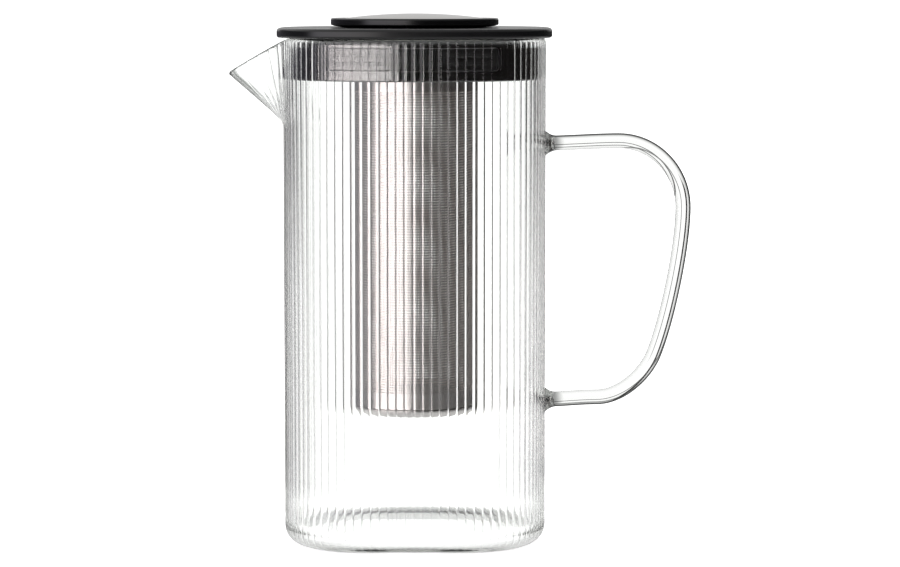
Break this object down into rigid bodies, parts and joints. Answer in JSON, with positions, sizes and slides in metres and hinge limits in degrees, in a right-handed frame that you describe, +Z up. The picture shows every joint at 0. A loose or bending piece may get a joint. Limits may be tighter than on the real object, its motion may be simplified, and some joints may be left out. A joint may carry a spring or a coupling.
{
  "type": "infusion pitcher",
  "caption": "Fluted square-round glass pitcher with a pulled spout and a glass handle, a black lid, and a perforated steel infuser hung under a round cap with a steel dome.",
  "frame": {"origin": "on the standing plane, on the pitcher's plane of symmetry, midway between the tip of the spout and the back of the handle; the axis of the glass body stands at x = -19.05 mm", "axes": "+Z up along the body, -X towards the spout, +X towards the handle, +Y to the back"},
  "size_m": [0.1931, 0.1142, 0.219],
  "materials": {
    "clear_glass": "clear, fire-polished, fluted outside",
    "black_plastic": "fine satin moulding",
    "black_silicone": "smooth silicone",
    "infuser_steel": "bright rolled stainless sheet, perforated",
    "dome_steel": "polished stainless steel"
  },
  "bodies": {
    "glass": {"glass_body": "clear_glass", "glass_handle": "clear_glass"},
    "lid": {"lid_plate": "black_plastic", "lid_collar": "black_plastic", "lid_gasket": "black_silicone", "grip_pad_front": "black_silicone", "grip_pad_back": "black_silicone"},
    "infuser": {"infuser_rim": "infuser_steel", "infuser_tube": "infuser_steel", "infuser_base": "infuser_steel"},
    "cap": {"cap_knob": "black_plastic", "cap_plug": "black_plastic", "cap_seal": "black_silicone", "steel_dome": "dome_steel"}
  },
  "joints": [
    {"name": "lid_lift", "type": "slide", "parent": "glass", "child": "lid", "axis": [0, 0, 1], "range_m": [0, 0.165]},
    {"name": "infuser_lift", "type": "slide", "parent": "lid", "child": "infuser", "axis": [0, 0, 1], "range_m": [0, 0.17]},
    {"name": "cap_lift", "type": "slide", "parent": "infuser", "child": "cap", "axis": [0, 0, 1], "range_m": [0, 0.06]}
  ]
}
